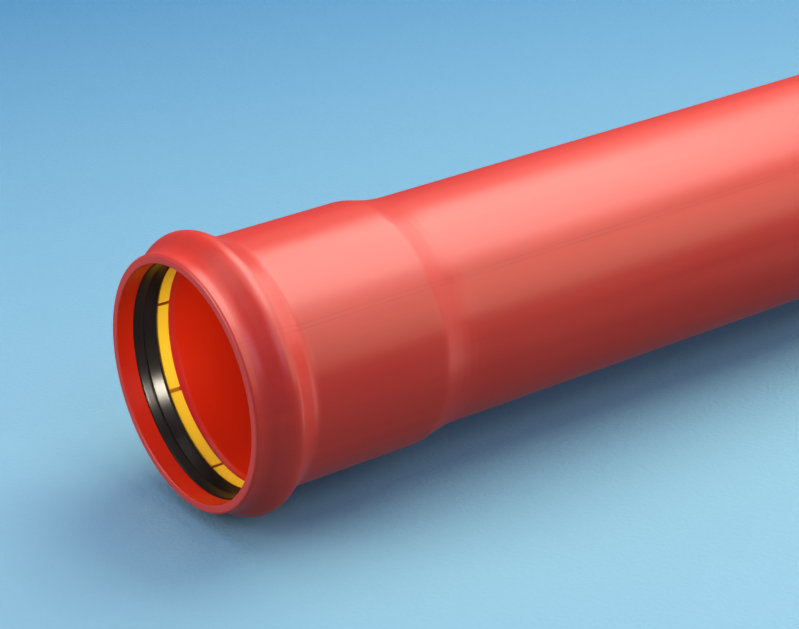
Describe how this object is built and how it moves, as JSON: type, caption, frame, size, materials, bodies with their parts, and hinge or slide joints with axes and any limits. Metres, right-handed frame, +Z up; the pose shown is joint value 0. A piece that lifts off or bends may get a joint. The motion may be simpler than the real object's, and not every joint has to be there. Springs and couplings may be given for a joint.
{
  "type": "cable conduit",
  "caption": "Straight red plastic cable conduit with a belled socket at one end, holding a ribbed rubber sealing ring and a slit yellow retaining ring, and a chamfered plain end.",
  "frame": {"origin": "centre of the plain end's face, on the conduit's axis", "axes": "+X runs along the axis from the plain end to the socket's mouth; +Z is up as the conduit lies"},
  "size_m": [1.1026, 0.1324, 0.1322],
  "materials": {
    "pipe_plastic": "satin brick red, drawn along its length",
    "seal_rubber": "lubricated black, slightly glossy",
    "ring_plastic": "smooth yellow"
  },
  "bodies": {
    "root": {"pipe": "pipe_plastic", "sealing_ring": "seal_rubber", "retaining_ring": "ring_plastic"}
  },
  "joints": []
}
